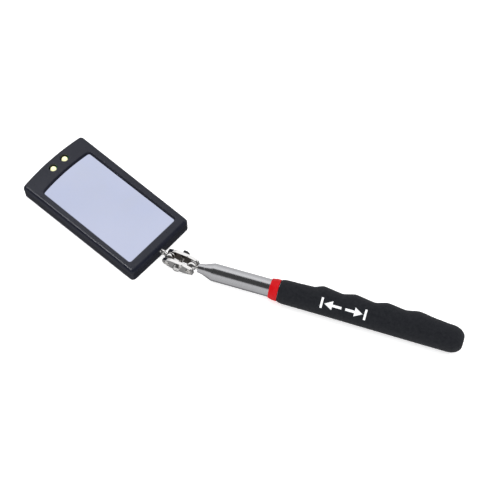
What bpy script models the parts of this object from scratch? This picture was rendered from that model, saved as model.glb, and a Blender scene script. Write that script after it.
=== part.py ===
"""Telescoping inspection mirror with a lighted rectangular head, a double ball swivel and a foam grip.

Lengths below are in millimetres and are turned into metres as each mesh is made.
The origin is the middle of the head's flat back. +X runs along the handle, from the head to the
end of the grip, and +Z is the way the mirror faces. The tool is collapsed and lies on a surface.
"""

import math

import bmesh
import bpy
from mathutils import Matrix, Vector

MM = 0.001
GAP = 0.3
ROUND_STEPS = 24

# Head, in its own axes: +X from the middle of the back towards the swivel.
HEAD_YAW = math.radians(-23.76)
HEAD_NEAR = 47.75
HEAD_FAR = -48.05
HEAD_HALF_WIDTH = 25.95
HEAD_TAPER = 0.00037
HEAD_THICKNESS = 9.8
HEAD_CORNER = 2.7
FAR_BULGE = 2.1
NEAR_BULGE = 0.3
WALL = 1.6
BACK_WALL = 1.3
FRONT_WALL = 1.4
PARTING = 5.4
COVER_INSET = 0.06
FRONT_EDGE_ROUND = 2.4

WINDOW_NEAR = 40.75
WINDOW_FAR = -34.85
WINDOW_HALF_WIDTH = 20.2
WINDOW_BULGE = 1.4
WINDOW_BEVEL_LOW = 8.6
WINDOW_BEVEL_SLOPE = 0.67
MIRROR_TUCK = 1.4
MIRROR_THICKNESS = 1.9

LAMP_X = -43.6
LAMP_YS = (6.8, -3.2)
LAMP_HOLE_RADIUS = 2.8
LAMP_RADIUS = 2.0

CELL_RADIUS = 10.0
CELL_THICKNESS = 3.2
CELL_X = 24.0
CELL_Y = 10.7
DOOR_HALF_LENGTH = 14.0
DOOR_INNER_Y = -22.5
SWITCH_X = -20.0

SCREW_PLACES = ((44.8, 21.8), (44.8, -21.8), (-43.6, 20.6), (-43.6, -20.6))

# Handle: a straight line of round pieces on one axis.
HANDLE_Y = -25.42
HANDLE_Z = 8.15
TUBE_RADIUS = 5.55
TUBE_BORE = 5.2
TUBE_MOUTH = 74.3
TUBE_CONE_END = 79.8
TUBE_REAR = 232.0
NOSE_BUSH = (80.5, 83.0)
SECTION_WALL = 0.12
SECTION_RADII = (3.4, 3.2, 3.0, 2.8)
SECTION_MOUTHS = (73.2, 72.2, 71.2, 70.2)
SECTION_REARS = (230.2, 229.5, 225.2, 220.9)
SLEEVE_LENGTH = 3.0
COLLAR_FRONT = 116.1
COLLAR_REAR = 121.6
COLLAR_RADIUS = 6.75

GRIP_FRONT = 121.9
GRIP_LENGTH = 113.5
GRIP_FRONT_ROUND = 4.5
GRIP_END_ROUND = 8.0
GRIP_BORE = TUBE_RADIUS + GAP
CREST_ANGLE = math.radians(29.0)
CREST_KNOTS = (
    (9.1, 7.6), (19.6, 8.0), (25.3, 9.95), (37.6, 8.5), (45.0, 10.25), (57.3, 8.65),
    (65.0, 10.55), (76.2, 9.3), (84.3, 10.75), (96.1, 9.2), (104.0, 8.5), (113.5, 8.2),
)

# Swivel.
BALL_RADIUS = 3.0
HEAD_BALL = Vector((55.0, 0.0, 4.9))
ROD_BALL = Vector((65.8, HANDLE_Y, HANDLE_Z))
NECK_RADIUS = 1.25
PLATE_INNER = 2.45
PLATE_OUTER = 4.5
PLATE_HALF_LENGTH = 10.9
PLATE_HALF_HEIGHT = 4.4
PLATE_HOLE = 2.1


# ---------------------------------------------------------------- scene and materials

def clear_scene():
    for obj in list(bpy.data.objects):
        bpy.data.objects.remove(obj, do_unlink=True)


def new_collection(name):
    made = bpy.data.collections.new(name)
    bpy.context.scene.collection.children.link(made)
    return made


def material(name, colour, roughness, metallic=0.0):
    made = bpy.data.materials.new(name)
    made.use_nodes = True
    shader = made.node_tree.nodes["Principled BSDF"]
    shader.inputs["Base Color"].default_value = (*colour, 1.0)
    shader.inputs["Roughness"].default_value = roughness
    shader.inputs["Metallic"].default_value = metallic
    made.diffuse_color = (*colour, 1.0)
    return made


clear_scene()
PARTS = new_collection("inspection_mirror")
CUTTERS = new_collection("cutters")

BLACK_PLASTIC = material("black_plastic", (0.028, 0.030, 0.036), 0.42)
GREY_PLASTIC = material("grey_plastic", (0.10, 0.10, 0.11), 0.5)
MIRROR = material("mirror", (0.72, 0.76, 0.90), 0.03, 1.0)
FOAM_PAD = material("foam_pad", (0.85, 0.85, 0.80), 0.95)
LAMP = material("lamp", (0.98, 0.95, 0.55), 0.2)
BOARD = material("circuit_board", (0.02, 0.22, 0.10), 0.45)
CELL = material("coin_cell", (0.75, 0.75, 0.76), 0.25, 1.0)
SPRING_BRASS = material("spring_brass", (0.80, 0.60, 0.28), 0.3, 1.0)
RED_WIRE = material("red_wire", (0.6, 0.02, 0.02), 0.5)
BLACK_WIRE = material("black_wire", (0.02, 0.02, 0.02), 0.5)
STEEL = material("tube_steel", (0.62, 0.62, 0.63), 0.3, 1.0)
NICKEL = material("nickel", (0.78, 0.77, 0.74), 0.18, 1.0)
RED_PLASTIC = material("red_plastic", (0.70, 0.02, 0.025), 0.35)
GRIP_FOAM = material("grip_foam", (0.022, 0.023, 0.026), 0.92)
BLACK_STEEL = material("black_steel", (0.05, 0.05, 0.055), 0.4, 1.0)


def empty(name, matrix, parent=None):
    made = bpy.data.objects.new(name, None)
    made.empty_display_size = 5 * MM
    PARTS.objects.link(made)
    made.parent = parent
    made.matrix_local = matrix
    return made


def along(start, end, up=Vector((0, 0, 1))):
    """A frame at start whose X axis points to end and whose Z axis is as near to up as it can be."""
    x = (end - start).normalized()
    y = up.cross(x).normalized()
    z = x.cross(y)
    turn = Matrix((x, y, z)).transposed().to_4x4()
    return Matrix.Translation(start * MM) @ turn


# ---------------------------------------------------------------- making meshes

def keep(name, bm, parent, finish, collection=None, smooth=True):
    """Turn a bmesh in millimetres into a named object."""
    bmesh.ops.scale(bm, vec=(MM, MM, MM), verts=bm.verts)
    mesh = bpy.data.meshes.new(name)
    bm.to_mesh(mesh)
    bm.free()
    if smooth and mesh.polygons:
        mesh.shade_smooth()
        mesh.set_sharp_from_angle(angle=math.radians(35))
    obj = bpy.data.objects.new(name, mesh)
    (collection or PARTS).objects.link(obj)
    obj.parent = parent
    if finish:
        mesh.materials.append(finish)
    return obj


def cutter(name, bm, parent):
    obj = keep(name, bm, parent, None, CUTTERS, smooth=False)
    obj.hide_render = True
    obj.display_type = "WIRE"
    return obj


def combine(obj, other, operation="DIFFERENCE"):
    step = obj.modifiers.new(operation.lower() + "_" + other.name, "BOOLEAN")
    step.operation = operation
    step.solver = "EXACT"
    step.object = other


def turned(name, profile, parent, finish, steps=ROUND_STEPS, closed=False):
    """A profile of (radius, distance along Z) points, swept round Z. It starts at the high Z."""
    bm = bmesh.new()
    verts = [bm.verts.new((radius, 0, z)) for radius, z in profile]
    pairs = list(zip(verts, verts[1:]))
    if closed:
        pairs.append((verts[-1], verts[0]))
    for pair in pairs:
        bm.edges.new(pair)
    obj = keep(name, bm, parent, finish, smooth=False)
    sweep = obj.modifiers.new("turn", "SCREW")
    sweep.angle = math.tau
    sweep.steps = steps
    sweep.render_steps = steps
    sweep.use_merge_vertices = True
    sweep.merge_threshold = 0.00001
    sweep.use_smooth_shade = True
    return obj


def ring_profile(outer, inner, low, high):
    """The closed profile of a plain round ring: down the outside and up the inside."""
    return ((outer, high), (outer, low), (inner, low), (inner, high))


def rod_profile(radius, low, high):
    """The open profile of a plain round rod, from the middle of one end to the middle of the other."""
    return ((0, high), (radius, high), (radius, low), (0, low))


def rounded(corners, steps=5):
    """Turn the corners (x, y, radius) of a closed outline into arcs. A radius of 0 stays a point."""
    points = []
    for i, (x, y, radius) in enumerate(corners):
        here = Vector((x, y))
        if radius == 0:
            points.append(here)
            continue
        back = (Vector(corners[i - 1][:2]) - here).normalized()
        ahead = (Vector(corners[(i + 1) % len(corners)][:2]) - here).normalized()
        half = back.angle(ahead) / 2
        centre = here + (back + ahead).normalized() * (radius / math.sin(half))
        first = here + back * (radius / math.tan(half)) - centre
        last = here + ahead * (radius / math.tan(half)) - centre
        turn = first.angle_signed(last)
        for step in range(steps + 1):
            arm = first.copy()
            arm.rotate(Matrix.Rotation(-turn * step / steps, 2))
            points.append(centre + arm)
    return points


def bowed_rectangle(near, far, half_width, near_bulge, far_bulge, corner, steps=8):
    """An outline along X whose two ends bow outwards in the middle, with rounded corners."""
    across = [half_width * (2 * i / steps - 1) for i in range(1, steps)]
    near_end = [(near + near_bulge * (1 - (y / half_width) ** 2), y, 0) for y in across]
    far_end = [(far - far_bulge * (1 - (y / half_width) ** 2), y, 0) for y in reversed(across)]
    corners = [(near, -half_width, corner), *near_end, (near, half_width, corner)]
    corners += [(far, half_width, corner), *far_end, (far, -half_width, corner)]
    return rounded(corners)


def rectangle(x_low, x_high, y_low, y_high, corner=0.0):
    sides = ((x_low, y_low), (x_high, y_low), (x_high, y_high), (x_low, y_high))
    return rounded([(x, y, corner) for x, y in sides], 3)


def circle(radius, x=0.0, y=0.0, steps=ROUND_STEPS):
    angles = [math.tau * i / steps for i in range(steps)]
    return [Vector((x + radius * math.cos(a), y + radius * math.sin(a))) for a in angles]


def prism(outline, low, high):
    """A flat outline raised from one height to another."""
    bm = bmesh.new()
    face = bm.faces.new([bm.verts.new((x, y, low)) for x, y in outline])
    raised = bmesh.ops.extrude_face_region(bm, geom=[face])["geom"]
    tops = [item for item in raised if isinstance(item, bmesh.types.BMVert)]
    bmesh.ops.translate(bm, vec=(0, 0, high - low), verts=tops)
    bmesh.ops.recalc_face_normals(bm, faces=bm.faces)
    return bm


def join_rings(bm, first, second):
    count = len(first)
    for i in range(count):
        j = (i + 1) % count
        bm.faces.new((first[i], first[j], second[j], second[i]))


def round_rim(bm, height, width, segments=3):
    """Round the edges that lie at one height."""
    rim = [e for e in bm.edges if all(abs(v.co.z - height) < 0.001 for v in e.verts)]
    bmesh.ops.bevel(
        bm, geom=rim, offset=width, segments=segments, profile=0.5, affect="EDGES",
        clamp_overlap=True,
    )
    return bm


def laid_over(bm, matrix):
    """Turn or move a bmesh before it is kept."""
    bmesh.ops.transform(bm, matrix=matrix, verts=bm.verts)
    return bm


ALONG_X = Matrix.Rotation(math.radians(90), 4, "Y")
ACROSS_Y = Matrix.Rotation(math.radians(90), 4, "X")


# ---------------------------------------------------------------- head

def head_outline(inset):
    """The case outline, a little wider at the lamp end than at the swivel end."""
    outline = bowed_rectangle(
        HEAD_NEAR - inset, HEAD_FAR + inset, HEAD_HALF_WIDTH - inset,
        NEAR_BULGE, FAR_BULGE, max(HEAD_CORNER - inset, 1.0),
    )
    return [Vector((x, y * (1 - HEAD_TAPER * x))) for x, y in outline]


def window_outline(grow, corner):
    return bowed_rectangle(
        WINDOW_NEAR + grow, WINDOW_FAR - grow, WINDOW_HALF_WIDTH + grow,
        0.0, WINDOW_BULGE, corner,
    )


def window_bevel():
    """The slope round the window, as a block that widens towards the front."""
    top = HEAD_THICKNESS + 0.3
    grow = WINDOW_BEVEL_SLOPE * (top - WINDOW_BEVEL_LOW)
    bm = bmesh.new()
    outlines = ((window_outline(0, 1.5), WINDOW_BEVEL_LOW), (window_outline(grow, 2.3), top))
    low, high = [[bm.verts.new((x, y, z)) for x, y in outline] for outline, z in outlines]
    bm.faces.new(low)
    bm.faces.new(high)
    join_rings(bm, low, high)
    bmesh.ops.recalc_face_normals(bm, faces=bm.faces)
    return bm


def stud_hole(name, head):
    """The round way through the end wall for the head stud."""
    bm = prism(circle(1.75), HEAD_NEAR - 5, HEAD_NEAR + 5)
    laid_over(bm, Matrix.Translation((0, 0, HEAD_BALL.z)) @ ALONG_X)
    return cutter(name, bm, head)


def front_bezel(head):
    top = HEAD_THICKNESS
    body = round_rim(prism(head_outline(0.0), PARTING + GAP, top), top, FRONT_EDGE_ROUND, 4)
    bezel = keep("head_front_bezel", body, head, BLACK_PLASTIC)
    ceiling = top - FRONT_WALL
    combine(bezel, cutter("bezel_hollow", prism(head_outline(WALL), PARTING - 1, ceiling), head))
    combine(bezel, cutter("mirror_window", prism(window_outline(0, 1.5), ceiling - 1, top + 1), head))
    combine(bezel, cutter("window_bevel", window_bevel(), head))
    for number, y in enumerate(LAMP_YS, 1):
        hole = prism(circle(LAMP_HOLE_RADIUS, LAMP_X, y, 20), ceiling - 1, top + 1)
        combine(bezel, cutter(f"lamp_hole_{number}", hole, head))
    for number, (x, y) in enumerate(SCREW_PLACES, 1):
        boss = prism(circle(1.9, x, y, 12), PARTING + GAP, ceiling + 0.5)
        combine(bezel, cutter(f"screw_boss_{number}", boss, head), "UNION")
        pilot = prism(circle(1.1, x, y, 10), PARTING - 1, ceiling - 0.2)
        combine(bezel, cutter(f"screw_pilot_{number}", pilot, head))
    combine(bezel, stud_hole("bezel_stud_hole", head))


def rear_cover(head):
    body = round_rim(prism(head_outline(COVER_INSET), 0, PARTING), 0, 0.3, 2)
    cover = keep("head_rear_cover", body, head, BLACK_PLASTIC)
    hollow = prism(head_outline(WALL + COVER_INSET), BACK_WALL, PARTING + 1)
    combine(cover, cutter("cover_hollow", hollow, head))
    low, high = CELL_X - DOOR_HALF_LENGTH, CELL_X + DOOR_HALF_LENGTH
    opening = prism(rectangle(low, high, DOOR_INNER_Y, HEAD_HALF_WIDTH + 2), -1, BACK_WALL + 0.2)
    combine(cover, cutter("door_opening", opening, head))
    for number, (x, y) in enumerate(SCREW_PLACES, 1):
        pillar = prism(circle(2.3, x, y, 12), BACK_WALL - 0.5, PARTING)
        combine(cover, cutter(f"screw_pillar_{number}", pillar, head), "UNION")
        hole = prism(circle(1.2, x, y, 12), -1, PARTING + 1)
        combine(cover, cutter(f"screw_way_{number}", hole, head))
        sink = prism(circle(2.0, x, y, 12), -1, 1.9)
        combine(cover, cutter(f"screw_sink_{number}", sink, head))
    slot = prism(rectangle(SWITCH_X - 1.9, SWITCH_X + 4.9, 20, HEAD_HALF_WIDTH + 2), 2.0, 4.4)
    combine(cover, cutter("switch_slot", slot, head))
    combine(cover, stud_hole("cover_stud_hole", head))


def case_screw(number, x, y, head):
    """A pan head in its sink and a shank that reaches into the bezel's boss."""
    profile = ((0, 7.6), (0.8, 7.6), (0.8, 1.6), (1.7, 1.6), (1.7, 0.5), (1.3, 0.3), (0, 0.3))
    screw = turned(f"case_screw_{number}", profile, head, BLACK_STEEL, 12)
    screw.location = Vector((x, y, 0)) * MM


def mirror_and_pad(head):
    face = HEAD_THICKNESS - FRONT_WALL - 0.2
    back = face - MIRROR_THICKNESS
    glass = round_rim(prism(window_outline(MIRROR_TUCK, 1.0), back, face), face, 0.2, 1)
    keep("mirror_glass", glass, head, MIRROR)
    keep("mirror_pad", prism(window_outline(MIRROR_TUCK - 1, 1.0), back - 0.8, back - 0.2), head, FOAM_PAD)


def lamps_and_board(head):
    board_top = 4.4
    for number, y in enumerate(LAMP_YS, 1):
        low, high = board_top + GAP, HEAD_THICKNESS - 0.2
        dome = LAMP_RADIUS
        arc = [math.radians(a) for a in (90, 60, 30, 0)]
        profile = [(dome * math.cos(a), high - dome + dome * math.sin(a)) for a in arc]
        profile[0] = (0, high)
        profile += [(dome, low + 1), (dome + 0.3, low + 1), (dome + 0.3, low), (0, low)]
        lamp = turned(f"led_lamp_{number}", profile, head, LAMP, 20)
        lamp.location = Vector((LAMP_X, y, 0)) * MM
    board = prism(rectangle(-46.6, -38.8, -13, 15, 0.8), board_top - 1, board_top)
    keep("led_circuit_board", board, head, BOARD)


def batteries(head):
    low = BACK_WALL + 0.35
    high = low + CELL_THICKNESS
    edge = 0.5
    for number, side in enumerate((1, -1), 1):
        profile = (
            (0, high), (CELL_RADIUS - edge, high), (CELL_RADIUS, high - edge),
            (CELL_RADIUS, low + 0.2), (CELL_RADIUS - 1.4, low + 0.2), (CELL_RADIUS - 1.4, low), (0, low),
        )
        cell = turned(f"coin_cell_{number}", profile, head, CELL, 32)
        cell.location = Vector((CELL_X, side * CELL_Y, 0)) * MM
    bridge = prism(rectangle(CELL_X - 2.5, CELL_X + 2.5, -16, 16, 1), high + 0.2, high + 0.45)
    keep("battery_bridge", bridge, head, SPRING_BRASS)
    for name, side in (("battery_contact_plus", 1), ("battery_contact_minus", -1)):
        middle = side * CELL_Y
        tab = prism(rectangle(13.2, 13.6, middle - 3, middle + 3), BACK_WALL + GAP, high)
        keep(name, tab, head, SPRING_BRASS, smooth=False)


def wire(name, route, finish, head):
    """A thin insulated wire from a battery contact to the lamp board, on a smooth open line."""
    curve = bpy.data.curves.new(name, "CURVE")
    curve.dimensions = "3D"
    curve.bevel_depth = 0.45 * MM
    curve.bevel_resolution = 1
    curve.use_fill_caps = True
    spline = curve.splines.new("POLY")
    spline.points.add(len(route) - 1)
    for point, place in zip(spline.points, route):
        point.co = (*(Vector(place) * MM), 1)
    curve.materials.append(finish)
    obj = bpy.data.objects.new(name, curve)
    PARTS.objects.link(obj)
    obj.parent = head
    weld = obj.modifiers.new("weld", "WELD")
    weld.merge_threshold = 0.00001


def wires(head):
    floor = BACK_WALL + 0.8
    wire("positive_wire", ((12.4, 12, 3), (9, 13, floor), (0, 14, floor), (-8, 13, floor),
                           (-30, 10, floor), (-38, 9, floor)), RED_WIRE, head)
    wire("negative_wire", ((12.4, -12, 3), (9, -13, floor), (-12, -12, floor),
                           (-30, -8, floor), (-38, -7, floor)), BLACK_WIRE, head)


def switch(head):
    body = prism(rectangle(SWITCH_X - 4.2, SWITCH_X + 7.2, 19.4, 23.2, 0.3), BACK_WALL + GAP, 5.2)
    keep("switch_body", body, head, GREY_PLASTIC)
    knob = prism(rectangle(SWITCH_X - 1.5, SWITCH_X + 1.5, 23.5, HEAD_HALF_WIDTH + 1.3, 0.4), 2.3, 4.1)
    slider = empty("switch_slider", Matrix.Translation(Vector((SWITCH_X, 0, 0)) * MM), head)
    laid_over(knob, Matrix.Translation((-SWITCH_X, 0, 0)))
    keep("switch_knob", knob, slider, GREY_PLASTIC)


def battery_door(head):
    low, high = CELL_X - DOOR_HALF_LENGTH + GAP, CELL_X + DOOR_HALF_LENGTH - GAP
    plate = prism(rectangle(low, high, DOOR_INNER_Y + GAP, HEAD_HALF_WIDTH - 0.6, 0.4), 0, BACK_WALL - 0.1)
    door = keep("battery_door", round_rim(plate, 0, 0.3, 1), head, BLACK_PLASTIC)
    for number in range(5):
        y = 14.0 + 1.6 * number
        groove = prism(rectangle(CELL_X - 6, CELL_X + 6, y, y + 0.7), -1, 0.35)
        combine(door, cutter(f"door_groove_{number + 1}", groove, head))


def stud_nut(parent):
    """A hexagon nut on the head stud, inside the end wall."""
    nut = prism(circle(2.85, steps=6), 0, 2.2)
    laid_over(nut, ALONG_X)
    obj = keep("head_stud_nut", nut, parent, NICKEL, smooth=False)
    hole = laid_over(prism(circle(1.65, steps=16), -1, 4), ALONG_X)
    bore = cutter("head_nut_bore", hole, parent)
    combine(obj, bore)
    for item in (obj, bore):
        item.location = Vector((43.7, 0, HEAD_BALL.z)) * MM


def build_head():
    head = empty("mirror_head", Matrix.Rotation(HEAD_YAW, 4, "Z"))
    front_bezel(head)
    rear_cover(head)
    for number, (x, y) in enumerate(SCREW_PLACES, 1):
        case_screw(number, x, y, head)
    mirror_and_pad(head)
    lamps_and_board(head)
    batteries(head)
    wires(head)
    switch(head)
    battery_door(head)
    stud_nut(head)
    return head


# ---------------------------------------------------------------- swivel

def cup(steps=3):
    """The hollow end of a neck, which follows the ball at a small distance."""
    reach = BALL_RADIUS + 0.25
    radii = [NECK_RADIUS * i / steps for i in range(steps + 1)]
    return [(radius, math.sqrt(reach ** 2 - radius ** 2)) for radius in reversed(radii)]


def ball(name, place):
    bm = bmesh.new()
    bmesh.ops.create_uvsphere(bm, u_segments=24, v_segments=14, radius=BALL_RADIUS)
    obj = keep(name, bm, None, NICKEL)
    obj.location = place * MM


def plate_outline():
    ends = ((PLATE_HALF_LENGTH, 2.5, 1.3), (4.2, PLATE_HALF_HEIGHT, 4.0), (-4.2, PLATE_HALF_HEIGHT, 4.0),
            (-PLATE_HALF_LENGTH, 1.9, 1.4))
    below = [(x, -z, radius) for x, z, radius in reversed(ends)]
    return rounded([*ends, *below], 4)


def clamp_plate(name, side, pivot, reach):
    """One cheek of the clamp: two holes that the balls sit in, and the screw's hole between them."""
    thickness = PLATE_OUTER - PLATE_INNER
    start = -PLATE_INNER if side < 0 else PLATE_OUTER
    body = prism(plate_outline(), 0, thickness)
    round_rim(body, 0, 0.3, 2)
    round_rim(body, thickness, 0.3, 2)
    upright = Matrix.Translation((0, start, 0)) @ ACROSS_Y
    plate = keep(name, laid_over(body, upright), pivot, NICKEL)
    holes = ((reach, PLATE_HOLE, 20), (-reach, PLATE_HOLE, 20), (0, 1.4, 16))
    for number, (x, radius, steps) in enumerate(holes, 1):
        hole = laid_over(prism(circle(radius, x, 0, steps), -1, thickness + 1), upright)
        combine(plate, cutter(f"{name}_hole_{number}", hole, pivot))


def clamp_fasteners(pivot):
    """The clamping screw lies along the pivot's Y axis, its domed head on the near side."""
    shaft = empty("clamp_screw_axis", Matrix.Rotation(math.radians(90), 4, "X"), pivot)
    seat = PLATE_OUTER + GAP
    screw_end = -(PLATE_OUTER + 3.4)
    profile = [(0, seat + 2.5), (1.1, seat + 2.35), (2.0, seat + 1.9), (2.5, seat + 1.2), (2.5, seat)]
    profile += [(1.1, seat), (1.1, screw_end), (0, screw_end)]
    screw = turned("clamp_screw", profile, shaft, NICKEL, 20)
    slot = prism(rectangle(-3, 3, -0.3, 0.3), seat + 1.7, seat + 4)
    laid_over(slot, Matrix.Rotation(math.radians(35), 4, "Z"))
    combine(screw, cutter("screw_slot", slot, shaft))
    washer_low, washer_high = -(seat + 0.5), -seat
    turned("lock_washer", ring_profile(2.3, 1.4, washer_low, washer_high), shaft, NICKEL, 20, True)
    nut_high = washer_low - 0.2
    six_sides = prism(circle(2.5, steps=6), nut_high - 1.9, nut_high)
    nut = keep("clamp_nut", six_sides, shaft, BLACK_STEEL, smooth=False)
    combine(nut, cutter("clamp_nut_bore", prism(circle(1.4, steps=16), nut_high - 3, 0), shaft))


def build_swivel(head):
    head_ball = Matrix.Rotation(HEAD_YAW, 3, "Z") @ HEAD_BALL
    ball("head_ball", head_ball)
    ball("rod_ball", ROD_BALL)

    stud_axis = empty("head_stud_axis", Matrix.Translation(HEAD_BALL * MM) @ ALONG_X.inverted(), head)
    stud = [(0, 11.8), (1.35, 11.8), (1.35, 6.15), (1.85, 6.15), (1.85, 4.95), (NECK_RADIUS, 4.3)]
    turned("head_ball_stud", stud + cup(), stud_axis, NICKEL, 20)

    middle = (head_ball + ROD_BALL) / 2
    pivot = empty("link_pivot", along(middle, ROD_BALL))
    reach = (ROD_BALL - head_ball).length / 2
    clamp_plate("clamp_plate_near", -1, pivot, reach)
    clamp_plate("clamp_plate_far", 1, pivot, reach)
    clamp_fasteners(pivot)


# ---------------------------------------------------------------- telescopic rod

def section(number, radius, mouth, rear, axis):
    """One thin tube. Its rear end is drawn in, to carry a friction sleeve, except on the first."""
    inner = radius - SECTION_WALL
    name = f"section_{number}_tube"
    if number == 1:
        turned(name, ring_profile(radius, inner, mouth, rear), axis, STEEL, closed=True)
        bush = ring_profile(TUBE_BORE - 0.2, radius + 0.15, rear - 4.0, rear)
        turned("section_1_rear_bush", bush, axis, SPRING_BRASS, closed=True)
        return
    drawn = radius - GAP
    sleeve_front = rear - SLEEVE_LENGTH - 0.6
    profile = (
        (drawn, rear), (drawn, sleeve_front), (radius, sleeve_front - GAP), (radius, mouth),
        (inner, mouth), (inner, sleeve_front - GAP), (drawn - SECTION_WALL, sleeve_front),
        (drawn - SECTION_WALL, rear),
    )
    turned(name, profile, axis, STEEL, closed=True)
    sleeve = ring_profile(radius + 0.03, radius - 0.15, rear - SLEEVE_LENGTH, rear - 0.3)
    turned(f"section_{number}_friction_sleeve", sleeve, axis, SPRING_BRASS, closed=True)


def outer_tube(axis):
    mouth_radius = SECTION_RADII[0] + 0.4
    wall = TUBE_RADIUS - TUBE_BORE
    profile = (
        (TUBE_RADIUS, TUBE_REAR), (TUBE_RADIUS, TUBE_CONE_END), (TUBE_RADIUS - 0.3, TUBE_CONE_END - 0.9),
        (mouth_radius, TUBE_MOUTH), (mouth_radius - 0.25, TUBE_MOUTH),
        (mouth_radius - 0.25, TUBE_MOUTH + 0.5),
        (TUBE_BORE - 0.3, TUBE_CONE_END - 0.6), (TUBE_RADIUS - wall, TUBE_CONE_END + 0.3),
        (TUBE_BORE, TUBE_REAR),
    )
    turned("outer_tube", profile, axis, STEEL, closed=True)
    bush = ring_profile(TUBE_BORE - 0.2, SECTION_RADII[0] + 0.15, *NOSE_BUSH)
    turned("nose_bush", bush, axis, GREY_PLASTIC, closed=True)
    turned("end_plug", rod_profile(TUBE_BORE - GAP, TUBE_REAR - 1.4, TUBE_REAR), axis, GREY_PLASTIC)


def collar(axis):
    bore = TUBE_RADIUS + GAP
    profile = (
        (COLLAR_RADIUS, COLLAR_REAR), (COLLAR_RADIUS, COLLAR_FRONT + 3.1),
        (COLLAR_RADIUS - 0.25, COLLAR_FRONT + 2.3),
        (bore + 0.25, COLLAR_FRONT), (bore, COLLAR_FRONT), (bore, COLLAR_REAR),
    )
    turned("red_collar", profile, axis, RED_PLASTIC, closed=True)


def rod_stud(axis):
    """The ball stud on the thinnest section: a neck outside it and a shank fixed inside it."""
    pivot = empty("rod_stud_axis", Matrix.Translation((0, 0, ROD_BALL.x * MM)), axis)
    mouth = SECTION_MOUTHS[-1] - ROD_BALL.x
    shank = SECTION_RADII[-1] - SECTION_WALL - GAP
    profile = [(0, mouth + 10), (shank, mouth + 10), (shank, mouth - 0.1), (NECK_RADIUS, mouth - 0.7)]
    turned("rod_ball_stud", profile + cup(), pivot, NICKEL, 20)


# ---------------------------------------------------------------- grip

def smooth_step(low, high, value):
    share = min(max((value - low) / (high - low), 0.0), 1.0)
    return share * share * (3 - 2 * share)


def grip_base(t):
    """The radius of the plain round side, which is a little thicker towards the end."""
    return 7.45 + 0.7 * smooth_step(8, 112, t)


def grip_crest(t):
    """The radius along the finger side: nearly straight rises and falls between the knots."""
    knots = ((0.0, grip_base(0)), *CREST_KNOTS)
    for (t0, r0), (t1, r1) in zip(knots, knots[1:]):
        if t <= t1:
            share = 0.6 * (t - t0) / (t1 - t0) + 0.4 * smooth_step(t0, t1, t)
            return r0 + (r1 - r0) * share
    return knots[-1][1]


def end_shrink(t):
    """How far both ends draw in: a small round at the front and a full one at the end."""
    front = min(t / GRIP_FRONT_ROUND, 1.0)
    back = min((GRIP_LENGTH - t) / GRIP_END_ROUND, 1.0)
    return 1 - math.sqrt(1 - (1 - front) ** 2) + 5.6 * (1 - math.sqrt(1 - (1 - back) ** 2))


def grip_ring(bm, t, steps, radius_at):
    """One closed ring of vertices round the handle's axis, which is this mesh's X axis."""
    angles = [math.tau * i / steps for i in range(steps)]
    return [
        bm.verts.new((GRIP_FRONT + t, radius_at(a) * math.cos(a), radius_at(a) * math.sin(a)))
        for a in angles
    ]


def foam_grip():
    """A foam sleeve lofted from a round front to a crested middle, closed at its end by a dimple."""
    steps = 32
    stations = [0.0, 0.4, 1.2, 2.5, 4.5, 11.0]
    stations += [17.7 + 1.9 * i for i in range(46)]
    for a in (15, 30, 45, 60, 75, 90):
        stations.append(GRIP_LENGTH - GRIP_END_ROUND * (1 - math.sin(math.radians(a))))
    bm = bmesh.new()

    def outer(t):
        base, crest, shrink = grip_base(t), grip_crest(t), end_shrink(t)
        return lambda a: base + max(crest - base, 0) * max(math.cos(a - CREST_ANGLE), 0) ** 1.5 - shrink

    rings = [grip_ring(bm, 0.0, steps, lambda a: GRIP_BORE)]
    rings += [grip_ring(bm, t, steps, outer(t)) for t in stations]
    rings += [grip_ring(bm, GRIP_LENGTH, steps, lambda a: 2.1)]
    rings += [grip_ring(bm, GRIP_LENGTH - 1.4, steps, lambda a: 1.5)]
    for first, second in zip(rings, rings[1:]):
        join_rings(bm, first, second)
    bm.faces.new(rings[-1])
    inner_end = TUBE_REAR + GAP - GRIP_FRONT
    bore = grip_ring(bm, inner_end, steps, lambda a: GRIP_BORE)
    join_rings(bm, bore, rings[0])
    bm.faces.new(reversed(bore))
    bmesh.ops.recalc_face_normals(bm, faces=bm.faces)
    grip = keep("foam_grip", bm, None, GRIP_FOAM)
    grip.location = Vector((0, HANDLE_Y, HANDLE_Z)) * MM


def build_handle():
    axis = empty("handle_axis", Matrix.Translation(Vector((0, HANDLE_Y, HANDLE_Z)) * MM) @ ALONG_X)
    outer_tube(axis)
    for number, sizes in enumerate(zip(SECTION_RADII, SECTION_MOUTHS, SECTION_REARS), 1):
        section(number, *sizes, axis)
    rod_stud(axis)
    collar(axis)
    foam_grip()


build_swivel(build_head())
build_handle()
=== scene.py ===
"""Looks of the telescoping inspection mirror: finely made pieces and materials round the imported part."""

import math

import bmesh
import bpy
from mathutils import Matrix, Vector


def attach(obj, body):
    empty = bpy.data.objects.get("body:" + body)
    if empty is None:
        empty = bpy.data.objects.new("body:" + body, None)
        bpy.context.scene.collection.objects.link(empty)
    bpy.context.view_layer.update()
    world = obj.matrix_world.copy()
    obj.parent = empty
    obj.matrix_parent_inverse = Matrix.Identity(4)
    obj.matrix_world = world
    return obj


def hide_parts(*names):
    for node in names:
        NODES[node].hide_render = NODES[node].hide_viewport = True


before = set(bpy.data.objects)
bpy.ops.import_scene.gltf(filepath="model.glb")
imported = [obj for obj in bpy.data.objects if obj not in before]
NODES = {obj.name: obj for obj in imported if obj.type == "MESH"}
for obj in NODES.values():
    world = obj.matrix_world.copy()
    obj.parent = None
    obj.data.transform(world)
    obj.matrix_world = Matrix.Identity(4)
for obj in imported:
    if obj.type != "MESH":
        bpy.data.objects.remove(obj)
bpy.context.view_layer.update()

MM = 0.001
HEAD_TURN = Matrix.Rotation(math.radians(-23.76), 4, "Z")
HANDLE_Y = -25.42
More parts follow.
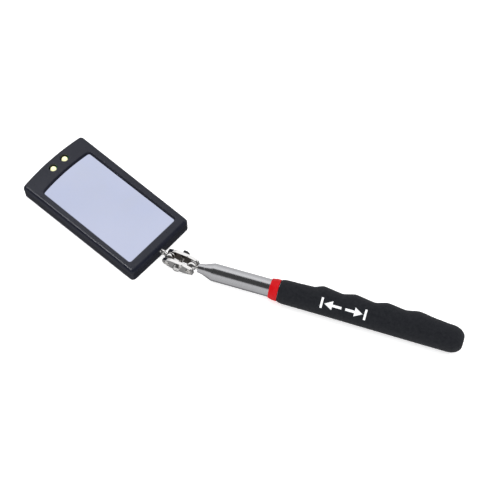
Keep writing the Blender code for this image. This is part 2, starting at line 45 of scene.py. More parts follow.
HANDLE_Z = 8.15
HEAD_AXIS_Z = 4.9
STUD_REACH = 55.0
HEAD_BALL = HEAD_TURN @ Vector((STUD_REACH, 0.0, HEAD_AXIS_Z))
ROD_BALL = Vector((65.8, HANDLE_Y, HANDLE_Z))
ALONG_X = Matrix.Rotation(math.radians(90), 4, "Y")
ACROSS_Y = Matrix.Rotation(math.radians(90), 4, "X")
HANDLE = Matrix.Translation((0, HANDLE_Y, HANDLE_Z)) @ ALONG_X

PARTING = 5.4
THICKNESS = 9.8
FACE = 1.4
WALL_OF_HEAD = 1.6
SEAM = 0.06
LAMP_HOLE = 2.8
LAMPS = ((-43.6, 6.8), (-43.6, -3.2))
CASE_SCREWS = ((44.8, 21.8), (44.8, -21.8), (-43.6, 20.6), (-43.6, -20.6))


# ---------------------------------------------------------------- materials

class Paint:
    """A material on the Principled shader, with short calls for its procedural detail."""

    def __init__(self, name, **sockets):
        self.made = bpy.data.materials.new(name)
        self.made.use_nodes = True
        self.nodes = self.made.node_tree.nodes
        self.links = self.made.node_tree.links
        self.shader = self.nodes["Principled BSDF"]
        self.place = self.nodes.new("ShaderNodeTexCoord").outputs["Object"]
        self.normal = None
        for socket, value in sockets.items():
            self.shader.inputs[socket.replace("_", " ")].default_value = value

    def stretched(self, scale):
        """Object coordinates in metres, times a scale for each axis."""
        mapping = self.nodes.new("ShaderNodeMapping")
        mapping.inputs["Scale"].default_value = scale
        self.links.new(self.place, mapping.inputs["Vector"])
        return mapping.outputs["Vector"]

    def noise(self, scale, detail=3.0, rough=0.55):
        """Noise whose scale is a number, or three numbers for a grain that runs one way."""
        node = self.nodes.new("ShaderNodeTexNoise")
        node.inputs["Detail"].default_value = detail
        node.inputs["Roughness"].default_value = rough
        if isinstance(scale, tuple):
            node.inputs["Scale"].default_value = 1.0
            self.links.new(self.stretched(scale), node.inputs["Vector"])
        else:
            node.inputs["Scale"].default_value = scale
            self.links.new(self.place, node.inputs["Vector"])
        return node.outputs["Fac"]

    def cells(self, scale):
        node = self.nodes.new("ShaderNodeTexVoronoi")
        node.inputs["Scale"].default_value = scale
        self.links.new(self.place, node.inputs["Vector"])
        return node.outputs["Distance"]

    def spread(self, value, low, high, start=0.3, end=0.7):
        node = self.nodes.new("ShaderNodeMapRange")
        for socket, number in zip(("From Min", "From Max", "To Min", "To Max"), (start, end, low, high)):
            node.inputs[socket].default_value = number
        self.links.new(value, node.inputs["Value"])
        return node.outputs["Result"]

    def roughness(self, value, low, high):
        self.links.new(self.spread(value, low, high), self.shader.inputs["Roughness"])

    def colour(self, value, first, second, start=0.3, end=0.7):
        ramp = self.nodes.new("ShaderNodeValToRGB")
        ramp.color_ramp.elements[0].position = start
        ramp.color_ramp.elements[0].color = (*first, 1)
        ramp.color_ramp.elements[1].position = end
        ramp.color_ramp.elements[1].color = (*second, 1)
        self.links.new(value, ramp.inputs["Fac"])
        self.links.new(ramp.outputs["Color"], self.shader.inputs["Base Color"])

    def bump(self, value, strength, distance):
        """Relief of a height in metres. A second call lies on top of the first."""
        node = self.nodes.new("ShaderNodeBump")
        node.inputs["Strength"].default_value = strength
        node.inputs["Distance"].default_value = distance
        self.links.new(value, node.inputs["Height"])
        if self.normal:
            self.links.new(self.normal, node.inputs["Normal"])
        self.normal = node.outputs["Normal"]
        self.links.new(self.normal, self.shader.inputs["Normal"])


def plastic(name, dark, light, low, high, grain=1800, shine=0.35):
    paint = Paint(name, Specular_IOR_Level=shine)
    paint.colour(paint.noise(140, 4), dark, light)
    paint.roughness(paint.noise(420, 5), low, high)
    paint.bump(paint.noise(grain, 2), 0.06, 0.00003)
    paint.bump(paint.noise(60, 2), 0.08, 0.0002)
    return paint.made


def plated(name, dark, light, low, high):
    """Bright plating over a die casting, a little uneven."""
    paint = Paint(name, Metallic=1.0)
    paint.colour(paint.noise(260, 4), dark, light)
    paint.roughness(paint.noise(700, 4), low, high)
    paint.bump(paint.noise(380, 3), 0.12, 0.00006)
    return paint.made


def ground_steel(name, dark, light, low, high):
    """Tube ground on a centreless grinder: fine lines run round it, with a faint lengthwise draw."""
    paint = Paint(name, Metallic=1.0)
    rings = paint.noise((5200, 260, 260), 4, 0.7)
    paint.colour(rings, dark, light)
    paint.roughness(paint.noise((1600, 500, 500), 4, 0.7), low, high)
    paint.bump(rings, 0.16, 0.00005)
    paint.bump(paint.noise((90, 1500, 1500), 3), 0.08, 0.00008)
    return paint.made


def foam():
    """Closed-cell foam: small open pores at the skin, faint colour mottling and a soft sheen."""
    paint = Paint("foam_skin", Sheen_Weight=0.03, Sheen_Roughness=0.6, Specular_IOR_Level=0.15)
    paint.colour(paint.noise(520, 5), (0.0075, 0.0083, 0.0108), (0.0127, 0.0137, 0.0165))
    paint.roughness(paint.noise(900, 3), 0.72, 0.92)
    paint.bump(paint.cells(1700), 0.35, 0.00018)
    paint.bump(paint.noise(700, 4), 0.35, 0.00022)
    return paint.made


def silvered():
    paint = Paint("silvered_glass", Metallic=1.0, Coat_Weight=0.25, Coat_Roughness=0.01)
    paint.colour(paint.noise(22, 2), (0.525, 0.570, 0.740), (0.565, 0.605, 0.765))
    paint.roughness(paint.noise(90, 3), 0.015, 0.045)
    return paint.made


def lamp_resin():
    paint = Paint("lamp_resin", Coat_Weight=0.8, Coat_Roughness=0.05, Emission_Strength=0.6)
    paint.shader.inputs["Emission Color"].default_value = (1.0, 0.98, 0.66, 1)
    paint.colour(paint.noise(1500, 2), (0.70, 0.70, 0.30), (0.76, 0.76, 0.40))
    paint.roughness(paint.noise(900, 2), 0.1, 0.25)
    return paint.made


BLACK_PLASTIC = plastic("black_moulding", (0.0052, 0.0065, 0.0135), (0.0074, 0.0087, 0.0165), 0.27, 0.36)
GREY_PLASTIC = plastic("grey_moulding", (0.075, 0.077, 0.082), (0.10, 0.10, 0.108), 0.42, 0.58)
RED_PLASTIC = plastic("red_moulding", (0.44, 0.002, 0.0045), (0.49, 0.003, 0.0065), 0.30, 0.42, shine=0.15)
NICKEL = plated("nickel_plate", (0.86, 0.85, 0.83), (0.94, 0.93, 0.91), 0.04, 0.10)
# Nickel darkened to a brownish black: painted shade for the faces inside the swivel, where the gap between
# the plates lies in shadow.
NICKEL_PAINTED_SHADE = plated("nickel_with_painted_shade", (0.030, 0.024, 0.020), (0.13, 0.10, 0.08), 0.15, 0.35)
BRIGHT_STEEL = plated("bright_steel", (0.62, 0.62, 0.63), (0.78, 0.78, 0.79), 0.20, 0.34)
BLACK_STEEL = plated("blackened_steel", (0.040, 0.040, 0.044), (0.070, 0.070, 0.076), 0.30, 0.46)
BRASS = plated("spring_brass_sheet", (0.62, 0.44, 0.18), (0.78, 0.58, 0.28), 0.22, 0.38)
STEEL = ground_steel("ground_tube", (0.55, 0.55, 0.56), (0.63, 0.63, 0.64), 0.15, 0.24)
FOAM = foam()
SILVER = silvered()
LAMP = lamp_resin()
PAD_FOAM = plastic("pad_foam", (0.70, 0.70, 0.64), (0.86, 0.86, 0.80), 0.85, 0.98, 900)
BOARD = plastic("board_laminate", (0.010, 0.150, 0.055), (0.020, 0.230, 0.090), 0.35, 0.5)
RED_COVER = plastic("red_insulation", (0.50, 0.012, 0.012), (0.62, 0.022, 0.020), 0.4, 0.5)
BLACK_COVER = plastic("black_insulation", (0.012, 0.012, 0.013), (0.022, 0.022, 0.024), 0.4, 0.5)
PRINT = plastic("white_print", (0.74, 0.75, 0.76), (0.86, 0.87, 0.88), 0.45, 0.6)


# ---------------------------------------------------------------- making pieces

def piece(name, bm, matrix, finish, body, slot, *stands_for, angle=30):
    """Turn a bmesh in millimetres into a piece that rides on a body."""
    bmesh.ops.transform(bm, matrix=matrix, verts=bm.verts)
    bmesh.ops.scale(bm, vec=(MM, MM, MM), verts=bm.verts)
    bmesh.ops.recalc_face_normals(bm, faces=bm.faces)
    mesh = bpy.data.meshes.new(name)
    bm.to_mesh(mesh)
    bm.free()
    mesh.shade_smooth()
    mesh.set_sharp_from_angle(angle=math.radians(angle))
    obj = bpy.data.objects.new(name, mesh)
    bpy.context.scene.collection.objects.link(obj)
    mesh.materials.append(finish)
    flat = obj.modifiers.new("flat", "WEIGHTED_NORMAL")
    flat.weight = 100
    flat.keep_sharp = True
    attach(obj, body)
    if stands_for:
        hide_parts(*stands_for)
    return obj


def lathe(profile, steps=72):
    """A closed or pole-to-pole profile of (radius, distance along Z), turned round Z."""
    bm = bmesh.new()
    rings = []
    for radius, z in profile:
        if radius == 0:
            rings.append([bm.verts.new((0, 0, z))])
            continue
        turn = [math.tau * i / steps for i in range(steps)]
        rings.append([bm.verts.new((radius * math.cos(a), radius * math.sin(a), z)) for a in turn])
    pairs = list(zip(rings, rings[1:]))
    if len(rings[0]) > 1:
        pairs.append((rings[-1], rings[0]))
    for first, second in pairs:
        for i in range(steps):
            j = (i + 1) % steps
            corners = [first[i % len(first)], first[j % len(first)]]
            corners += [second[j % len(second)], second[i % len(second)]]
            bm.faces.new(list(dict.fromkeys(corners)))
    return bm


def eased(profile, radius, steps=4):
    """Round every corner of an open or closed (radius, z) profile by up to a small radius."""
    points = [Vector(p) for p in profile]
    made = []
    for i, here in enumerate(points):
        back, ahead = points[i - 1] - here, points[(i + 1) % len(points)] - here
        on_axis = here.x == 0
        if on_axis or back.length < 1e-6 or ahead.length < 1e-6:
            made.append(here)
            continue
        cut = min(radius, back.length * 0.45, ahead.length * 0.45)
        first, last = here + back.normalized() * cut, here + ahead.normalized() * cut
        for step in range(steps + 1):
            t = step / steps
            made.append(first * (1 - t) ** 2 + here * 2 * t * (1 - t) + last * t * t)
    return [(p.x, p.y) for p in made]


def ring(outer, inner, low, high):
    return ((outer, high), (outer, low), (inner, low), (inner, high))


def rounded(corners, steps=8):
    """Turn the corners (x, y, radius) of a closed outline into arcs. A radius of 0 stays a point."""
    points = []
    for i, (x, y, radius) in enumerate(corners):
        here = Vector((x, y))
        if radius == 0:
            points.append(here)
            continue
        back = (Vector(corners[i - 1][:2]) - here).normalized()
        ahead = (Vector(corners[(i + 1) % len(corners)][:2]) - here).normalized()
        half = back.angle(ahead) / 2
        centre = here + (back + ahead).normalized() * (radius / math.sin(half))
        first = here + back * (radius / math.tan(half)) - centre
        last = here + ahead * (radius / math.tan(half)) - centre
        turn = first.angle_signed(last)
        for step in range(steps + 1):
            arm = first.copy()
            arm.rotate(Matrix.Rotation(-turn * step / steps, 2))
            points.append(centre + arm)
    return points


def bowed(near, far, half_width, near_bulge, far_bulge, corner, steps=24):
    """An outline along X whose two ends bow outwards, with rounded corners."""
    across = [half_width * (2 * i / steps - 1) for i in range(2, steps - 1)]
    near_end = [(near + near_bulge * (1 - (y / half_width) ** 2), y, 0) for y in across]
    far_end = [(far - far_bulge * (1 - (y / half_width) ** 2), y, 0) for y in reversed(across)]
    corners = [(near, -half_width, corner), *near_end, (near, half_width, corner)]
    corners += [(far, half_width, corner), *far_end, (far, -half_width, corner)]
    return rounded(corners)


def rectangle(x_low, x_high, y_low, y_high, corner=0.0):
    sides = ((x_low, y_low), (x_high, y_low), (x_high, y_high), (x_low, y_high))
    return rounded([(x, y, corner) for x, y in sides], 5)


def circle(radius, x=0.0, y=0.0, steps=48):
    turn = [math.tau * i / steps for i in range(steps)]
    return [Vector((x + radius * math.cos(a), y + radius * math.sin(a))) for a in turn]


def prism(outline, low, high):
    bm = bmesh.new()
    face = bm.faces.new([bm.verts.new((x, y, low)) for x, y in outline])
    raised = bmesh.ops.extrude_face_region(bm, geom=[face])["geom"]
    tops = [item for item in raised if isinstance(item, bmesh.types.BMVert)]
    bmesh.ops.translate(bm, vec=(0, 0, high - low), verts=tops)
    bmesh.ops.recalc_face_normals(bm, faces=bm.faces)
    return bm


def round_rim(bm, height, width, segments=5):
    rim = [e for e in bm.edges if all(abs(v.co.z - height) < 0.001 for v in e.verts)]
    bmesh.ops.bevel(
        bm, geom=rim, offset=width, segments=segments, profile=0.5, affect="EDGES", clamp_overlap=True,
    )
    return bm


def shaped(body, cuts=(), joins=(), edge=0.0):
    """Cut and join bmeshes exactly, then round the sharp edges that are left."""
    objects = []
    for bm in (body, *joins, *cuts):
        mesh = bpy.data.meshes.new("work")
        bm.to_mesh(mesh)
        bm.free()
        objects.append(bpy.data.objects.new("work", mesh))
        bpy.context.scene.collection.objects.link(objects[-1])
    base = objects[0]
    for number, other in enumerate(objects[1:]):
        step = base.modifiers.new("step", "BOOLEAN")
        step.operation = "UNION" if number < len(joins) else "DIFFERENCE"
        step.solver = "EXACT"
        step.object = other
    if edge:
        soften = base.modifiers.new("soften", "BEVEL")
        soften.width = edge
        soften.segments = 3
        soften.limit_method = "ANGLE"
        soften.angle_limit = math.radians(40)
    bpy.context.view_layer.update()
    result = bmesh.new()
    result.from_object(base, bpy.context.evaluated_depsgraph_get())
    for obj in objects:
        mesh = obj.data
        bpy.data.objects.remove(obj, do_unlink=True)
        bpy.data.meshes.remove(mesh)
    return result


def carried(names, finish):
    """CAD nodes that keep their own shape get a finer edge and a proper material."""
    for name in names.split():
        obj = NODES[name]
        obj.data.materials.clear()
        obj.data.materials.append(finish)
        weld = obj.modifiers.new("weld", "WELD")
        weld.merge_threshold = 0.00001
        edge = obj.modifiers.new("edge", "BEVEL")
        edge.width = 0.00006
        edge.segments = 2
        edge.limit_method = "ANGLE"
        edge.angle_limit = math.radians(45)


# ---------------------------------------------------------------- head

def head_outline(inset):
    """The case outline, a little wider at the lamp end than at the swivel end."""
    outline = bowed(47.75 - inset, -48.05 + inset, 25.95 - inset, 0.3, 2.1, max(2.7 - inset, 1.0))
    return [Vector((x, y * (1 - 0.00037 * x))) for x, y in outline]


def window(grow, corner):
    return bowed(40.75 + grow, -34.85 - grow, 20.2 + grow, 0.0, 1.4, corner)


def end_hole():
    bm = prism(circle(1.75), 43, 53)
    bmesh.ops.transform(bm, matrix=Matrix.Translation((0, 0, HEAD_AXIS_Z)) @ ALONG_X, verts=bm.verts)
    return bm


def window_bevel():
    """The slope round the window, as a block that widens towards the front."""
    bm = bmesh.new()
    outlines = ((window(0, 1.5), 8.6), (window(1.0, 2.5), 10.1))
    low, high = [[bm.verts.new((x, y, z)) for x, y in outline] for outline, z in outlines]
    bm.faces.new(low)
    bm.faces.new(high)
    for i in range(len(low)):
        bm.faces.new((low[i - 1], low[i], high[i], high[i - 1]))
    bmesh.ops.recalc_face_normals(bm, faces=bm.faces)
    return bm


def make_head():
    top = THICKNESS
    ceiling = top - FACE
    cuts = [prism(head_outline(WALL_OF_HEAD), PARTING - 1, ceiling)]
    cuts += [prism(window(0, 1.5), ceiling - 1, top + 1), end_hole(), window_bevel()]
    cuts += [prism(circle(LAMP_HOLE, x, y), ceiling - 1, top + 1) for x, y in LAMPS]
    body = round_rim(prism(head_outline(0), PARTING + 0.3, top), top, 2.4, 9)
    bezel = shaped(body, cuts, edge=0.16)
    piece("front_bezel", bezel, HEAD_TURN, BLACK_PLASTIC, "head", "black_plastic", "head_front_bezel")

    cuts = [prism(head_outline(WALL_OF_HEAD + SEAM), 1.3, PARTING + 1), end_hole()]
    cuts += [prism(rectangle(10, 38, -22.5, 28), -1, 1.5)]
    cuts += [prism(circle(2.0, x, y), -1, 1.9) for x, y in CASE_SCREWS]
    cuts += [prism(rectangle(-21.9, -15.1, 20, 28, 0.5), 2.0, 4.4)]
    pillars = [prism(circle(2.3, x, y), 0.8, PARTING) for x, y in CASE_SCREWS]
    body = round_rim(prism(head_outline(SEAM), 0, PARTING), 0, 0.3, 4)
    cover = shaped(body, cuts, pillars, edge=0.14)
    piece("rear_cover", cover, HEAD_TURN, BLACK_PLASTIC, "head", "black_plastic", "head_rear_cover")

    glass = round_rim(prism(window(1.4, 1.0), 6.3, 8.2), 8.2, 0.2, 3)
    piece("mirror_plate", glass, HEAD_TURN, SILVER, "head", "mirror", "mirror_glass")

    for number, (x, y) in enumerate(LAMPS, 1):
        arc = [math.radians(a) for a in range(90, -1, -10)]
        dome = [(2.0 * math.cos(a), 7.6 + 2.0 * math.sin(a)) for a in arc]
        dome[0] = (0, 9.6)
        dome += [(2.0, 5.75), (2.07, 5.7), (2.25, 5.7), (2.3, 5.65), (2.3, 4.75), (2.25, 4.7), (0, 4.7)]
        place = HEAD_TURN @ Matrix.Translation((x, y, 0))
        piece(f"lamp_{number}", lathe(dome), place, LAMP, "head", "lamp", f"led_lamp_{number}")

    for number, (x, y) in enumerate(CASE_SCREWS, 1):
        profile = ((0, 7.6), (0.8, 7.6), (0.8, 1.6), (1.7, 1.6), (1.7, 0.55), (1.3, 0.3), (0, 0.3))
        arms = (rectangle(-0.2, 0.2, -1.0, 1.0), rectangle(-1.0, 1.0, -0.2, 0.2))
        screw = shaped(lathe(eased(profile, 0.12), 48), [prism(arm, -1, 0.8) for arm in arms])
        place = HEAD_TURN @ Matrix.Translation((x, y, 0)) @ Matrix.Rotation(0.4 + number * 0.9, 4, "Z")
        name = f"back_screw_{number}"
        piece(name, screw, place, BLACK_STEEL, "head", "black_steel", f"case_screw_{number}")

    nut = shaped(prism(circle(2.85, steps=6), 0, 2.2), [prism(circle(1.65), -1, 4)], edge=0.15)
    place = HEAD_TURN @ Matrix.Translation((43.7, 0, HEAD_AXIS_Z)) @ ALONG_X
    piece("inner_nut", nut, place, NICKEL, "head_stud", "nickel", "head_stud_nut")


def make_door_and_switch():
    grooves = [prism(rectangle(18, 30, 14 + 1.6 * i, 14.7 + 1.6 * i, 0.3), -1, 0.35) for i in range(5)]
    arrow = ((24, 11.6), (21.4, 8.2), (23.2, 8.2), (23.2, 3.6), (24.8, 3.6), (24.8, 8.2), (26.6, 8.2))
    plate = round_rim(prism(rectangle(10.3, 37.7, -22.2, 25.35, 0.4), 0, 1.2), 0, 0.3, 3)
    door = shaped(plate, [*grooves, prism(arrow, -1, 0.2)], edge=0.06)
    piece("door_plate", door, HEAD_TURN, BLACK_PLASTIC, "door", "black_plastic", "battery_door")
    ribs = [prism(rectangle(-21.2 + 0.75 * i, -20.95 + 0.75 * i, 26.6, 28), 1, 5) for i in range(4)]
    knob = shaped(prism(rectangle(-21.5, -18.5, 23.5, 27.25, 0.4), 2.3, 4.1), ribs, edge=0.1)
    piece("slide_knob", knob, HEAD_TURN, GREY_PLASTIC, "switch", "grey_plastic", "switch_knob")


# ---------------------------------------------------------------- swivel

NECK = 1.25
BALL = 3.0


def cup():
    """The hollow end of a neck, close to the ball."""
    reach = BALL + 0.06
    radii = [NECK * i / 8 for i in range(9)]
    return [(radius, math.sqrt(reach ** 2 - radius ** 2)) for radius in reversed(radii)]


def make_ball(name, centre, body, node, pole):
    """A turned ball with the tiny flat that the lathe leaves at its free pole."""
    arc = [math.radians(a) for a in range(84, -91, -6)]
    profile = [(0, BALL * math.sin(arc[0]))] + [(BALL * math.cos(a), BALL * math.sin(a)) for a in arc[:-1]]
    profile.append((0, -BALL))
    turn = Vector((0, 0, 1)).rotation_difference(pole).to_matrix().to_4x4()
    place = Matrix.Translation(centre) @ turn
    piece(name, lathe(profile, 64), place, NICKEL, body, "nickel", node, angle=40)


def plate_outline():
    ends = ((10.9, 2.5, 1.3), (4.2, 4.4, 4.0), (-4.2, 4.4, 4.0), (-10.9, 1.9, 1.4))
    below = [(x, -z, radius) for x, z, radius in reversed(ends)]
    return rounded([*ends, *below], 10)


def make_plate(name, side, frame_of_link, reach, node):
    start = -2.45 if side < 0 else 4.5
    upright = frame_of_link @ Matrix.Translation((0, start, 0)) @ ACROSS_Y
    body = prism(plate_outline(), 0, 2.05)
    holes = [prism(circle(2.1, x), -1, 3) for x in (reach, -reach)] + [prism(circle(1.4), -1, 3)]
    made = shaped(body, holes, edge=0.34)
    plate = piece(name, made, upright, NICKEL, "link", "nickel", node)
    # The faces that look into the gap between the plates get the nickel with painted shade.
    plate.data.materials.append(NICKEL_PAINTED_SHADE)
    inward = frame_of_link.to_3x3() @ Vector((0, -side, 0))
    for face in plate.data.polygons:
        face.material_index = int(face.normal.dot(inward) > 0.9)


def make_swivel():
    away = (ROD_BALL - HEAD_BALL).normalized()
    side = Vector((0, 0, 1)).cross(away).normalized()
    up = away.cross(side)
    link = Matrix((away, side, up)).transposed().to_4x4()
    link = Matrix.Translation((HEAD_BALL + ROD_BALL) / 2) @ link
    reach = (ROD_BALL - HEAD_BALL).length / 2
    make_plate("cheek_near", -1, link, reach, "clamp_plate_near")
    make_plate("cheek_far", 1, link, reach, "clamp_plate_far")

    across = link @ Matrix.Rotation(math.radians(90), 4, "X")
    head = [(0, 7.1), (0.6, 7.05), (1.2, 6.9), (1.9, 6.5), (2.3, 6.1), (2.5, 5.7)]
    head += [(2.5, 4.72), (2.43, 4.62), (1.1, 4.62)]
    thread = [(1.1 - 0.12 * (i % 2), 4.3 - 0.2 * i) for i in range(60)]
    shank = [*thread, (0.9, -7.9), (0, -7.9)]
    slot = prism(rectangle(-3, 3, -0.22, 0.22), 6.6, 9)
    bmesh.ops.transform(slot, matrix=Matrix.Rotation(math.radians(35), 4, "Z"), verts=slot.verts)
    screw = shaped(lathe(head + shank, 48), [slot])
    piece("pinch_screw", screw, across, NICKEL, "link", "nickel", "clamp_screw")
    gap = prism(rectangle(1, 3, -0.25, 0.25), -6, -4)
    washer = shaped(lathe(eased(ring(2.3, 1.4, -5.3, -4.62), 0.1), 48), [gap])
    piece("spring_washer", washer, across, NICKEL, "link", "nickel", "lock_washer")
    nut = shaped(prism(circle(2.5, steps=6), -7.4, -5.5), [prism(circle(1.15), -9, 0)], edge=0.2)
    piece("pinch_nut", nut, across, BLACK_STEEL, "link", "black_steel", "clamp_nut")

    to_head = HEAD_TURN.to_3x3() @ Vector((-1, 0, 0))
    make_ball("ball_on_head", HEAD_BALL, "head_ball", "head_ball", -to_head)
    make_ball("ball_on_rod", ROD_BALL, "rod_ball", "rod_ball", Vector((-1, 0, 0)))
    thread = [(1.35 - 0.12 * (i % 2), 11.6 - 0.2 * i) for i in range(27)]
    stud = [(0, 11.8), (1.2, 11.8), *thread, (1.35, 6.15), (1.78, 6.15)]
    stud += [(1.85, 6.08), (1.85, 5.02), (1.72, 4.9), (NECK, 4.3)]
    place = HEAD_TURN @ Matrix.Translation((STUD_REACH, 0, HEAD_AXIS_Z)) @ ALONG_X.inverted()
    piece("head_neck", lathe(stud + cup(), 48), place, NICKEL, "head_stud", "nickel", "head_ball_stud")
    stud = [(0, 14.4), (2.36, 14.4), (2.36, 4.4), (2.25, 4.25), (NECK, 3.7)]
    place = Matrix.Translation(ROD_BALL) @ ALONG_X
    piece("rod_neck", lathe(stud + cup(), 48), place, NICKEL, "rod_stud", "nickel", "rod_ball_stud")


# ---------------------------------------------------------------- rod

SECTIONS = ((3.4, 73.2, 230.2), (3.2, 72.2, 229.5), (3.0, 71.2, 225.2), (2.8, 70.2, 220.9))
WALL = 0.12


def make_rod():
    outline = [
        (5.55, 232), (5.55, 80.1), (5.45, 79.4), (5.2, 78.7), (3.86, 74.9), (3.72, 74.5), (3.62, 74.35),
        (3.52, 74.4), (3.5, 74.9), (4.9, 79.3), (5.2, 80.2), (5.2, 232),
    ]
    piece("barrel", lathe(outline, 96), HANDLE, STEEL, "handle", "tube_steel", "outer_tube")
    for number, (radius, mouth, rear) in enumerate(SECTIONS, 1):
        inner = radius - WALL
        lip = [(radius, mouth + 0.12), (radius - 0.04, mouth), (inner + 0.03, mouth), (inner, mouth + 0.1)]
        if number == 1:
            profile = [(radius, rear), *lip, (inner, rear)]
        else:
            drawn = radius - 0.3
            front = rear - 3.6
            profile = [(drawn, rear), (drawn, front), (radius, front - 0.3), *lip]
            profile += [(inner, front - 0.3), (drawn - WALL, front), (drawn - WALL, rear)]
        name = f"section_{number}"
        piece(f"thin_tube_{number}", lathe(profile, 80), HANDLE, STEEL, name, "tube_steel", f"{name}_tube")

    bore = 5.85
    face = [(6.75, 119.2), (6.68, 118.7), (6.52, 118.1), (6.15, 116.4), (6.02, 116.1), (bore, 116.1)]
    profile = [(6.6, 121.6), (6.75, 121.45), *face, (bore, 121.6)]
    piece("red_ring", lathe(profile, 96), HANDLE, RED_PLASTIC, "handle", "red_plastic", "red_collar")


# ---------------------------------------------------------------- grip

GRIP_FRONT = 121.9
GRIP_LENGTH = 113.5
GRIP_FRONT_ROUND = 4.5
GRIP_END_ROUND = 8.0
CREST_ANGLE = math.radians(29.0)
CRESTS = (
    (9.1, 7.6), (19.6, 8.0), (25.3, 9.95), (37.6, 8.5), (45.0, 10.25), (57.3, 8.65),
    (65.0, 10.55), (76.2, 9.3), (84.3, 10.75), (96.1, 9.2), (104.0, 8.5), (113.5, 8.2),
)


def smooth_step(low, high, value):
    share = min(max((value - low) / (high - low), 0.0), 1.0)
    return share * share * (3 - 2 * share)


def base_radius(t):
    return 7.45 + 0.7 * smooth_step(8, 112, t)


def crest_radius(t):
    knots = ((0.0, base_radius(0)), *CRESTS)
    for (t0, r0), (t1, r1) in zip(knots, knots[1:]):
        if t <= t1:
            share = 0.6 * (t - t0) / (t1 - t0) + 0.4 * smooth_step(t0, t1, t)
            return r0 + (r1 - r0) * share
    return knots[-1][1]


def end_shrink(t):
    front = min(t / GRIP_FRONT_ROUND, 1.0)
    back = min((GRIP_LENGTH - t) / GRIP_END_ROUND, 1.0)
    return (1 - math.sqrt(1 - (1 - front) ** 2)) + 5.6 * (1 - math.sqrt(1 - (1 - back) ** 2))


def grip_radius(t, angle):
    base = base_radius(t)
    rise = max(crest_radius(t) - base, 0)
    return base + rise * max(math.cos(angle - CREST_ANGLE), 0) ** 1.5 - end_shrink(t)


def on_grip(t, angle, lift=0.0):
    radius = grip_radius(t, angle) + lift
    return (GRIP_FRONT + t, radius * math.cos(angle), radius * math.sin(angle))


def make_grip():
    steps = 96
    turn = [math.tau * i / steps for i in range(steps)]
    front = [GRIP_FRONT_ROUND * (1 - math.cos(math.radians(a))) for a in range(0, 90, 10)]
    middle = [4.4 + 0.7 * i for i in range(150)]
    tail = [GRIP_LENGTH - GRIP_END_ROUND * (1 - math.sin(math.radians(a))) for a in range(6, 91, 6)]
    middle = [t for t in middle if t < tail[0] - 0.3]
    bm = bmesh.new()
    rings = []
    for t, radius in ((GRIP_LENGTH - 3.0, 5.85), (0.1, 5.85), (0.0, 5.95)):
        x = GRIP_FRONT + t
        rings.append([bm.verts.new((x, radius * math.cos(a), radius * math.sin(a))) for a in turn])
    for t in (*front, *middle, *tail):
        rings.append([bm.verts.new(on_grip(t, a)) for a in turn])
    for t, radius in ((0.0, 2.3), (0.12, 2.05), (0.5, 1.85), (1.1, 1.6), (1.35, 1.0), (1.4, 0.4)):
        x = GRIP_FRONT + GRIP_LENGTH - t
        rings.append([bm.verts.new((x, radius * math.cos(a), radius * math.sin(a))) for a in turn])
    for first, second in zip(rings, rings[1:]):
        for i in range(steps):
            j = (i + 1) % steps
            bm.faces.new((first[i], first[j], second[j], second[i]))
    bm.faces.new(rings[-1])
    bm.faces.new(reversed(rings[0]))
    place = Matrix.Translation((0, HANDLE_Y, HANDLE_Z))
    grip = piece("foam_handle", bm, place, FOAM, "handle", "grip_foam", "foam_grip", angle=60)


def printed(name, widths, centre_t, centre_angle):
    """A thin printed shape that follows the grip. Each pair is a place along it and its half width."""
    across = 12
    columns = []
    for (x0, h0), (x1, h1) in zip(widths, widths[1:]):
        count = max(1, round(abs(x1 - x0) / 0.4))
        columns += [(x0 + (x1 - x0) * i / count, h0 + (h1 - h0) * i / count) for i in range(count)]
    columns.append(widths[-1])
    bm = bmesh.new()
    layers = []
    for lift in (0.05, -0.08):
        layer = []
        for x, half in columns:
            t = centre_t + x
            sides = [half * (2 * i / across - 1) / grip_radius(t, centre_angle) for i in range(across + 1)]
            layer.append([bm.verts.new(on_grip(t, centre_angle + side, lift)) for side in sides])
        layers.append(layer)
    for layer in layers:
        for first, second in zip(layer, layer[1:]):
            for i in range(across):
                bm.faces.new((first[i], first[i + 1], second[i + 1], second[i]))
    top, under = layers
    for i in range(len(columns) - 1):
        for side in (0, across):
            bm.faces.new((top[i][side], top[i + 1][side], under[i + 1][side], under[i][side]))
    for end in (0, -1):
        for i in range(across):
            bm.faces.new((top[end][i], top[end][i + 1], under[end][i + 1], under[end][i]))
    place = Matrix.Translation((0, HANDLE_Y, HANDLE_Z))
    piece(name, bm, place, PRINT, "handle", "grip_foam")


def make_print():
    """A white double arrow between two bars, the sign for a tool that pulls out."""
    centre_t = 40.5
    angle = math.radians(118)
    head, shaft = 2.7, 0.75
    for name, side in (("print_arrow_out", -1), ("print_arrow_in", 1)):
        widths = ((1.2, shaft), (6.8, shaft), (6.82, head), (11.6, 0.08))
        printed(name, [(side * x, half) for x, half in widths], centre_t, angle)
    for number, x in enumerate((-13.4, 13.4), 1):
        printed(f"print_bar_{number}", ((x - 0.65, 3.2), (x + 0.65, 3.2)), centre_t, angle)


# ---------------------------------------------------------------- stage

def make_floor():
    """A plain pale floor that the steel doesn't mirror."""
    mesh = bpy.data.meshes.new("floor")
    mesh.from_pydata([(-6, -6, 0), (6, -6, 0), (6, 6, 0), (-6, 6, 0)], [], [(0, 1, 2, 3)])
    floor = bpy.data.objects.new("floor", mesh)
    floor.location.z = -0.0002
    bpy.context.scene.collection.objects.link(floor)
    paint = Paint("pale_floor", Roughness=0.9, Specular_IOR_Level=0.1, Emission_Strength=0.4)
    paint.shader.inputs["Emission Color"].default_value = (1, 1, 1, 1)
    paint.colour(paint.noise(3, 2), (0.93, 0.93, 0.93), (0.95, 0.95, 0.95))
    mesh.materials.append(paint.made)
    floor.visible_glossy = False


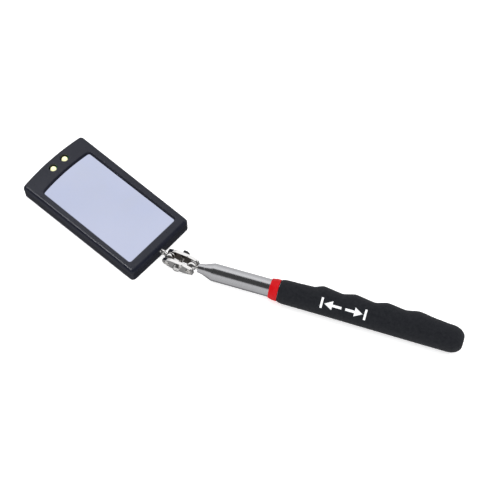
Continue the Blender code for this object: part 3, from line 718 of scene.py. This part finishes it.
def make_world():
    """A pale studio with a dark strip of ceiling along the handle. The background itself is plain."""
    world = bpy.data.worlds.new("studio")
    bpy.context.scene.world = world
    world.use_nodes = True
    nodes, links = world.node_tree.nodes, world.node_tree.links
    light = nodes["Background"]
    place = nodes.new("ShaderNodeTexCoord").outputs["Generated"]
    split = nodes.new("ShaderNodeSeparateXYZ")
    links.new(place, split.inputs["Vector"])
    angle = nodes.new("ShaderNodeMath")
    angle.operation = "ARCTAN2"
    links.new(split.outputs["Z"], angle.inputs[0])
    links.new(split.outputs["Y"], angle.inputs[1])
    ramp = nodes.new("ShaderNodeValToRGB")
    ramp.color_ramp.interpolation = "EASE"
    stops = (
        (-180, 0.68), (-140, 0.62), (-118, 0.44), (-104, 0.12), (-72, 0.12), (-55, 0.55), (0, 0.70),
        (52, 1.02), (67, 1.0), (76, 0.07), (134, 0.07), (146, 0.72), (180, 0.70),
    )
    elements = ramp.color_ramp.elements
    while len(elements) < len(stops):
        elements.new(0.5)
    for element, (degrees, value) in zip(elements, stops):
        element.position = (degrees + 180) / 360
        element.color = (value, value, value * 1.02, 1)
    share = nodes.new("ShaderNodeMapRange")
    share.inputs["From Min"].default_value = -math.pi
    share.inputs["From Max"].default_value = math.pi
    links.new(angle.outputs[0], share.inputs["Value"])
    links.new(share.outputs["Result"], ramp.inputs["Fac"])
    links.new(ramp.outputs["Color"], light.inputs["Color"])
    plain = nodes.new("ShaderNodeBackground")
    plain.inputs["Color"].default_value = (1, 1, 1, 1)
    seen = nodes.new("ShaderNodeLightPath").outputs["Is Camera Ray"]
    mix = nodes.new("ShaderNodeMixShader")
    links.new(seen, mix.inputs["Fac"])
    links.new(light.outputs[0], mix.inputs[1])
    links.new(plain.outputs[0], mix.inputs[2])
    links.new(mix.outputs[0], nodes["World Output"].inputs["Surface"])


def edge_light():
    """A small light that lights only the bezel, and draws a thin line along its rounded edge."""
    lit = bpy.data.collections.new("lit_by_edge_light")
    lit.objects.link(bpy.data.objects["front_bezel"])
    obj = lamp("edge_light", (-0.42, 0.10, 0.90), 1.6, 0.3, 8)
    obj.light_linking.receiver_collection = lit
    obj.visible_diffuse = False


def lamp(name, direction, distance, size, power, glossy=True):
    """A soft square light that looks at the middle of the object."""
    data = bpy.data.lights.new(name, "AREA")
    data.size = size
    data.energy = power
    obj = bpy.data.objects.new(name, data)
    bpy.context.scene.collection.objects.link(obj)
    aim = Vector(direction).normalized()
    obj.location = Vector((0.08, 0, 0)) + aim * distance
    obj.rotation_mode = "QUATERNION"
    obj.rotation_quaternion = aim.to_track_quat("Z", "Y")
    obj.visible_glossy = glossy
    return obj


def make_stage():
    make_floor()
    make_world()
    lamp("overhead", (0.1, 0.05, 1), 1.6, 2.6, 36, glossy=False)
    lamp("front_fill", (0.1, -1, 0.9), 1.6, 1.6, 10, glossy=False)
    edge_light()
    data = bpy.data.cameras.new("camera")
    data.lens = 91.08
    data.sensor_width = 36
    camera = bpy.data.objects.new("camera", data)
    bpy.context.scene.collection.objects.link(camera)
    camera.location = (0.20610, -0.35959, 0.67463)
    back = camera.location - Vector((0.09104, 0.00283, 0))
    camera.rotation_mode = "QUATERNION"
    camera.rotation_quaternion = back.to_track_quat("Z", "Y")
    bpy.context.scene.camera = camera
    bpy.context.scene.view_settings.view_transform = "Standard"


make_head()
make_door_and_switch()
make_swivel()
make_rod()
make_grip()
make_print()
carried("mirror_pad", PAD_FOAM)
carried("led_circuit_board", BOARD)
carried("coin_cell_1 coin_cell_2", BRIGHT_STEEL)
carried("battery_bridge battery_contact_plus battery_contact_minus section_1_rear_bush", BRASS)
carried("section_2_friction_sleeve section_3_friction_sleeve section_4_friction_sleeve", BRASS)
carried("positive_wire", RED_COVER)
carried("negative_wire", BLACK_COVER)
carried("switch_body nose_bush end_plug", GREY_PLASTIC)
make_stage()
